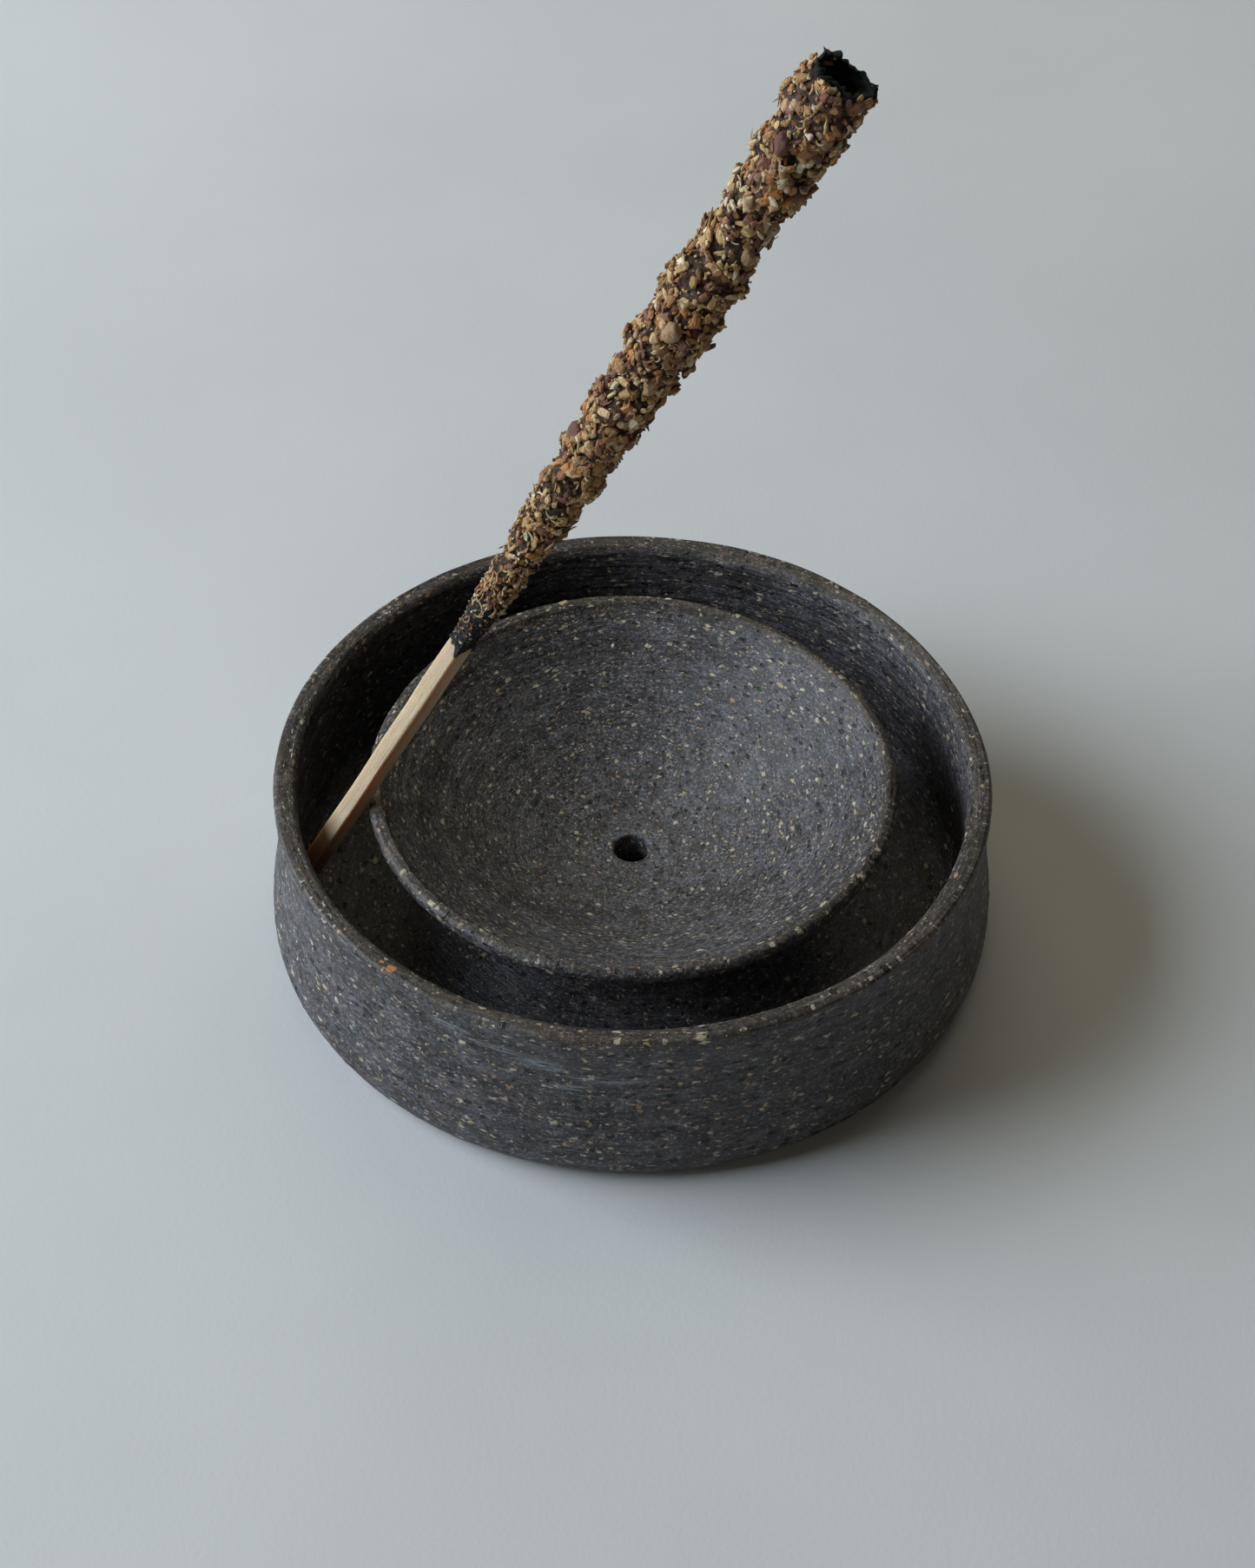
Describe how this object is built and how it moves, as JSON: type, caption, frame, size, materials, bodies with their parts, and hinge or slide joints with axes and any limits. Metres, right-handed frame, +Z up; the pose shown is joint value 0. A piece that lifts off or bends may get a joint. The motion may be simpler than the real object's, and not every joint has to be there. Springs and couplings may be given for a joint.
{
  "type": "incense burner",
  "caption": "Round stoneware ash bowl with a loose holder dish standing in it and a hand-rolled incense stick leaning in the gap.",
  "frame": {"origin": "centre of the bowl's flat base, on the surface it stands on", "axes": "+Z up through the dish's incense hole; -Y to the front; the stick leans towards +X"},
  "size_m": [0.1028, 0.1028, 0.1417],
  "materials": {
    "bowl_stoneware": "unglazed, speckled with pale grog",
    "dish_stoneware": "unglazed, speckled with pale grog",
    "pale_wood": "bare, split along the grain",
    "dark_binder": "matt, fibrous",
    "paste": "matt, gritty",
    "bark": "matt, fibrous",
    "wood_chip": "matt, fibrous",
    "resin": "dull, dusty",
    "char": "matt, cracked"
  },
  "bodies": {
    "bowl": {"outer_bowl": "bowl_stoneware"},
    "dish": {"holder_dish": "dish_stoneware"},
    "stick": {"stick_core": "pale_wood", "binder_collar": "dark_binder", "incense_paste": "paste", "bark_chips": "bark", "wood_chips": "wood_chip", "resin_lumps": "resin", "charred_tip": "char"}
  },
  "joints": [
    {"name": "dish_lift", "type": "slide", "parent": "bowl", "child": "dish", "axis": [0, 0, 1], "range_m": [0, 0.045]},
    {"name": "stick_draw", "type": "slide", "parent": "dish", "child": "stick", "axis": [0.4891, 0.104, 0.866], "range_m": [0, 0.12]}
  ]
}
